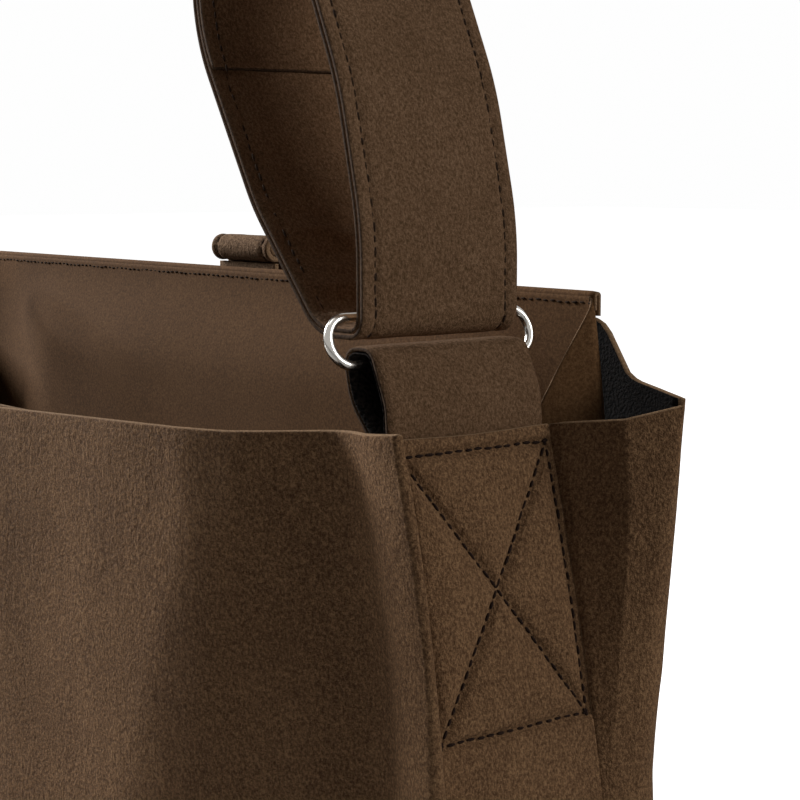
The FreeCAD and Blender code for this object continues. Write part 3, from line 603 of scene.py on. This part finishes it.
fold_y, fold_z = 49.1, 279.0
ROLL, CORE = 3.3, 1.25          # radii of the fold's outer and inner turn
flap_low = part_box("closing_strap")[0].z / MM
closer_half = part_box("closing_strap")[1].x / MM
closer_hide = nubuck("closing strap hide", ("#4c3826", "#6c533d", "#886e54"), 0.40, 0.9, 0.6)
angles = np.linspace(0, 1.94 * math.pi, 30)
roll = np.stack([fold_y + ROLL * np.cos(angles), fold_z + ROLL * np.sin(angles)], 1)
flap = rounded_line([(fold_y + ROLL, flap_low), (fold_y + ROLL, fold_z)], [], step=2.5)
flap_path = np.concatenate([flap[:-1], roll])
section = strip_section(closer_half, -0.95, 0.95, closer_half - 3, 0.05)
band("closing_flap", flap_path, (Y, Z), closer_half, section, (closer_hide, raw_edge), "closing_strap",
     "strap_leather", ["closing_strap"], 0.1)
core = np.stack([fold_y + CORE * np.cos(angles), fold_z + CORE * np.sin(angles)], 1)
band("closing_fold_core", core, (Y, Z), closer_half - 0.3, strip_section(closer_half - 0.3, -1.1, 1.05),
     (closer_hide, raw_edge), "closing_strap", "strap_leather", ())
tail_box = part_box("closing_strap_tail")
tail_y, tail_low, tail_high = tail_box[0].y / MM + 1.0, tail_box[0].z / MM, tail_box[1].z / MM
tail_path = rounded_line([(tail_y, tail_low), (tail_y, tail_high)], [], step=2.0)
band("closing_tail", tail_path, (Y, Z), closer_half, section, (closer_hide, raw_edge), "bag",
     "strap_leather", ["closing_strap_tail"], 0.1)


def turned_disc(name, profile, centre, outward, body, nodes):
    """A small turned metal part: profile is (radius, height) from its face's middle to its back."""
    angles = np.linspace(0, 2 * math.pi, 40, endpoint=False)
    vertices = [[centre[0] + r * math.cos(a), centre[1] + outward * h, centre[2] + r * math.sin(a)]
                for r, h in profile for a in angles]
    n = len(angles)
    faces = [[i * n + k, i * n + (k + 1) % n, (i + 1) * n + (k + 1) % n, (i + 1) * n + k]
             for i in range(len(profile) - 1) for k in range(n)]
    faces += [list(range(n)), list(range((len(profile) - 1) * n, len(profile) * n))]
    solid(name, vertices, faces, [nickel], [0] * len(faces), body, nodes)


cap = [(0.4, 2.0), (2, 1.95), (4, 1.75), (5.6, 1.25), (6.3, 0.7), (6.5, 0.3), (6.3, 0)]
socket = [(1.5, 0.7), (1.8, 1.5), (2.3, 1.95), (2.9, 1.6), (3.5, 0.9), (5.6, 0.8), (6.3, 0.5),
          (6.5, 0.2), (6.3, 0)]
knob = [(1.6, 3.75), (2.4, 3.3), (2.6, 2.8), (2.1, 2.2), (2.1, 1.2), (4.5, 1.1), (5.9, 0.8),
        (6.5, 0.3), (6.4, 0)]
KNOB_BASE = 3.8                 # front panel's face, behind the front stud's tip
for name, profile, outward, body in (("closing_stud_cap", cap, -1, "closing_strap"),
                                     ("closing_stud_socket", socket, 1, "closing_strap"),
                                     ("front_stud", knob, -1, "bag")):
    low, high = (np.array(v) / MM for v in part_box(name))
    seat = low[1] if outward == 1 else high[1]
    if name == "front_stud":
        seat = low[1] + KNOB_BASE
    turned_disc(f"{name}_turned", profile, (0, seat, (low[2] + high[2]) / 2), outward, body, [name])

# ---------------------------------------------------------------- stitching
# Brown thread, about 0.7 mm thick, in 3 mm lockstitches. Each seam is a line that stitches follow,
# and every stitch differs a little in length and place.

thread = fibrous("dark brown thread", ("#241912", "#3f3024"), 0.3, 0.05, 0.9)
box_thread = fibrous("blackish brown thread", ("#1a1210", "#30231c"), 0.3, 0.05, 0.9)
SHAKE = 0.16 * MM

stitches = bpy.data.node_groups.new("lockstitch rows", "GeometryNodeTree")
sockets = {}
for label, kind, value in (("Seams", "NodeSocketGeometry", None),
                           ("Pitch", "NodeSocketFloat", 3.0 * MM),
                           ("Length", "NodeSocketFloat", 2.4 * MM),
                           ("Thickness", "NodeSocketFloat", 0.65 * MM),
                           ("Thread", "NodeSocketMaterial", None), ("Seed", "NodeSocketInt", 7)):
    sockets[label] = stitches.interface.new_socket(label, in_out="INPUT", socket_type=kind)
    if value is not None:
        sockets[label].default_value = value
stitches.interface.new_socket("Stitches", in_out="OUTPUT", socket_type="NodeSocketGeometry")
given = stitches.nodes.new("NodeGroupInput").outputs
curves = add(stitches, "GeometryNodeMeshToCurve", None, given["Seams"]).outputs[0]
spaced = add(stitches, "GeometryNodeResampleCurve", {"mode": "LENGTH"}, curves,
             Length=given["Pitch"]).outputs[0]
tangent = stitches.nodes.new("GeometryNodeInputTangent").outputs[0]
turn = add(stitches, "FunctionNodeAlignRotationToVector", {"axis": "Z"},
           Vector=tangent).outputs[0]
vary = add(stitches, "FunctionNodeRandomValue", {"data_type": "FLOAT"}, Seed=given["Seed"])
vary.inputs[2].default_value = 0.74
vary.inputs[3].default_value = 1.10
shake = add(stitches, "FunctionNodeRandomValue", {"data_type": "FLOAT_VECTOR"}, Seed=given["Seed"])
shake.inputs[0].default_value = (-SHAKE,) * 3
shake.inputs[1].default_value = (SHAKE,) * 3
uneven = add(stitches, "GeometryNodeSetPosition", None, spaced, Offset=shake.outputs[0]).outputs[0]
long = add(stitches, "ShaderNodeMath", {"operation": "MULTIPLY"}, given["Length"],
           vary.outputs[1]).outputs[0]
shape = add(stitches, "ShaderNodeCombineXYZ", None, given["Thickness"], given["Thickness"],
            long).outputs[0]
bead = add(stitches, "GeometryNodeMeshIcoSphere", None, 0.5, 2).outputs[0]
placed = add(stitches, "GeometryNodeInstanceOnPoints", None, uneven, Instance=bead, Rotation=turn,
             Scale=shape).outputs[0]
real = add(stitches, "GeometryNodeRealizeInstances", None, placed).outputs[0]
sewn = add(stitches, "GeometryNodeSetMaterial", None, real, Material=given["Thread"]).outputs[0]
stitches.links.new(sewn, stitches.nodes.new("NodeGroupOutput").inputs[0])


def sew(name, seams, body, finish=thread, pitch=3.0, length=2.4, thick=0.65, seed=7):
    """Rows of stitches along seams, each an array of points in millimetres."""
    mesh = bpy.data.meshes.new(name + "_seams")
    vertices, edges = [], []
    for seam in seams:
        edges += [(len(vertices) + k, len(vertices) + k + 1) for k in range(len(seam) - 1)]
        vertices += (np.asarray(seam) * MM).tolist()
    mesh.from_pydata(vertices, edges, [])
    lines = bpy.data.objects.new(name + "_seams", mesh)
    bpy.context.scene.collection.objects.link(lines)
    rows = lines.modifiers.new("stitches", "NODES")
    rows.node_group = stitches
    for label, value in (("Pitch", pitch * MM), ("Length", length * MM), ("Thickness", thick * MM),
                         ("Thread", finish), ("Seed", seed)):
        rows[sockets[label].identifier] = value
    seen = lines.evaluated_get(bpy.context.evaluated_depsgraph_get())
    done = bpy.data.meshes.new_from_object(seen)
    done.polygons.foreach_set("use_smooth", [True] * len(done.polygons))
    bpy.data.objects.remove(lines)
    bpy.data.meshes.remove(mesh)
    piece = bpy.data.objects.new(name, done)
    bpy.context.scene.collection.objects.link(piece)
    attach(piece, body)


def beside(path, plane, out, across):
    """A line this far out from a band's path and this far across it."""
    a, b = plane
    along = unit(np.gradient(path, axis=0))
    normal = along[:, 1:] * a - along[:, :1] * b
    return path[:, :1] * a + path[:, 1:] * b + normal * out + np.cross(b, a) * across


for side, name in ((1, "right"), (-1, "left")):
    seams = []
    for start, end in SEAMS:
        yz = np.linspace(start, end, 60)
        x = strip_face(yz[:, 1] + RIM) + strip_relief(yz[:, 0], yz[:, 1] + RIM) + 0.3
        seams.append(np.stack([x * side, yz[:, 0], yz[:, 1] + RIM], 1))
    sew(f"{name}_cross_stitches", seams, "bag", box_thread, pitch=3.1, length=2.6, thick=0.8, seed=11)
strap_rows = [beside(strap_path, (X, Z), 1.13, s * (HALF - SEAM_IN)) for s in (-1, 1)]
strap_rows += [beside(backing_path, (X, Z), -1.08, s * (HALF - SEAM_IN)) for s in (-1, 1)]
sew("strap_edge_stitches", strap_rows, "carrying_strap")
hem_run = np.linspace(-hem_half + 1.5, hem_half - 1.5, 120)
hem_rows = [np.stack([hem_run, np.full(120, y), np.full(120, HEM - 3.2)], 1)
            for y in (BACK_Y - 1.36, BACK_Y + 1.42)]
sew("hem_stitches", hem_rows, "bag", pitch=2.8, length=2.2)
flap_rows = [beside(flap_path[:-6], (Y, Z), 0.62, s * (closer_half - 3)) for s in (-1, 1)]
sew("closing_strap_stitches", flap_rows, "closing_strap")
box_low, box_high = tail_low + 3, tail_low + 25
corners = [(-13, box_low), (13, box_low), (13, box_high), (-13, box_high), (-13, box_low)]
box_row = evenly(np.array(corners, float), 1.0)
box_row = np.stack([box_row[:, 0], np.full(len(box_row), tail_y + 1.05), box_row[:, 1]], 1)
sew("closing_tail_stitches", [box_row], "bag")

# ---------------------------------------------------------------- floor, light and camera
# A white studio: a key from the left front, a rim from the right and a soft overhead.

floor_finish, tree = new_material("pale studio floor")
place = add(tree, "ShaderNodeTexCoord").outputs["Object"]
apart = add(tree, "ShaderNodeVectorMath", {"operation": "LENGTH"}, place).outputs["Value"]
# the camera sees the floor brighten to white away from the bag
lift = add(tree, "ShaderNodeMapRange", None, apart, From_Min=0.26, From_Max=0.55, To_Min=0.60,
           To_Max=1.0).outputs[0]
seen = add(tree, "ShaderNodeLightPath").outputs["Is Camera Ray"]
lift = add(tree, "ShaderNodeMath", {"operation": "MULTIPLY"}, seen, lift).outputs[0]
finish_with(tree, add(tree, "ShaderNodeBsdfPrincipled", None, (0.5, 0.5, 0.5, 1), Roughness=0.9,
                      Emission_Color=(1, 1, 1, 1), Emission_Strength=lift))
floor_mesh = bpy.data.meshes.new("studio_floor")
FAR = 12
floor_mesh.from_pydata([(-FAR, -FAR, 0), (FAR, -FAR, 0), (FAR, FAR, 0), (-FAR, FAR, 0)], [],
                       [(0, 1, 2, 3)])
floor_mesh.materials.append(floor_finish)
floor = bpy.data.objects.new("studio_floor", floor_mesh)
bpy.context.scene.collection.objects.link(floor)

world = bpy.data.worlds.new("white studio")
bpy.context.scene.world = world
world.use_nodes = True
world.node_tree.nodes.clear()
rays = add(world.node_tree, "ShaderNodeLightPath").outputs
# white behind the bag and in the metal, but little of it falls on the leather
bright = weigh(world.node_tree, (rays["Is Camera Ray"], 0.93), (rays["Is Glossy Ray"], 0.5),
               (1.0, 0.06))
sky = add(world.node_tree, "ShaderNodeBackground", None, (1, 1, 1, 1), bright)
add(world.node_tree, "ShaderNodeOutputWorld", None, sky.outputs[0])


def softbox(name, place, aim, size, power):
    """A rectangular area light that points at aim, in metres and watts."""
    light = bpy.data.lights.new(name, "AREA")
    light.shape = "RECTANGLE"
    light.size, light.size_y = size
    light.energy = power
    box = bpy.data.objects.new(name, light)
    box.location = place
    box.rotation_euler = (Vector(aim) - Vector(place)).to_track_quat("-Z", "Y").to_euler()
    box.visible_camera = False
    bpy.context.scene.collection.objects.link(box)
    return box


key = softbox("left front softbox", (-1.66, -0.48, 1.10), (0.05, 0, 0.2), (0.6, 0.8), 60.0)
softbox("right softbox", (1.50, 0.80, 0.90), (0.1, 0, 0.25), (0.7, 0.9), 14.0)
softbox("overhead softbox", (-0.3, 0.0, 1.9), (0, 0, 0.2), (1.2, 0.8), 5.0)
# the strap and the far end do not shade the inside from the key light
unshaded = bpy.data.collections.new("clear of the key light")
for name in ("strap_outer_hide", "strap_inner_hide", "strap_edge_stitches", "left_tab_leather_fold",
             "left_tab_backing_fold", "left_strip", "inner_lining"):
    unshaded.objects.link(bpy.data.objects[name])
for member in unshaded.collection_objects:
    member.light_linking.link_state = "EXCLUDE"
key.light_linking.blocker_collection = unshaded

lens = bpy.data.cameras.new("camera")
lens.lens = 85.5
lens.sensor_width = 36.0
lens.clip_start = 0.01
camera = bpy.data.objects.new("camera", lens)
camera.location = (0.5194, -0.3033, 0.3031)
camera.rotation_euler = (math.radians(83.21), 0.0, math.radians(51.3))
bpy.context.scene.collection.objects.link(camera)
bpy.context.scene.camera = camera
bpy.context.scene.view_settings.view_transform = "Standard"
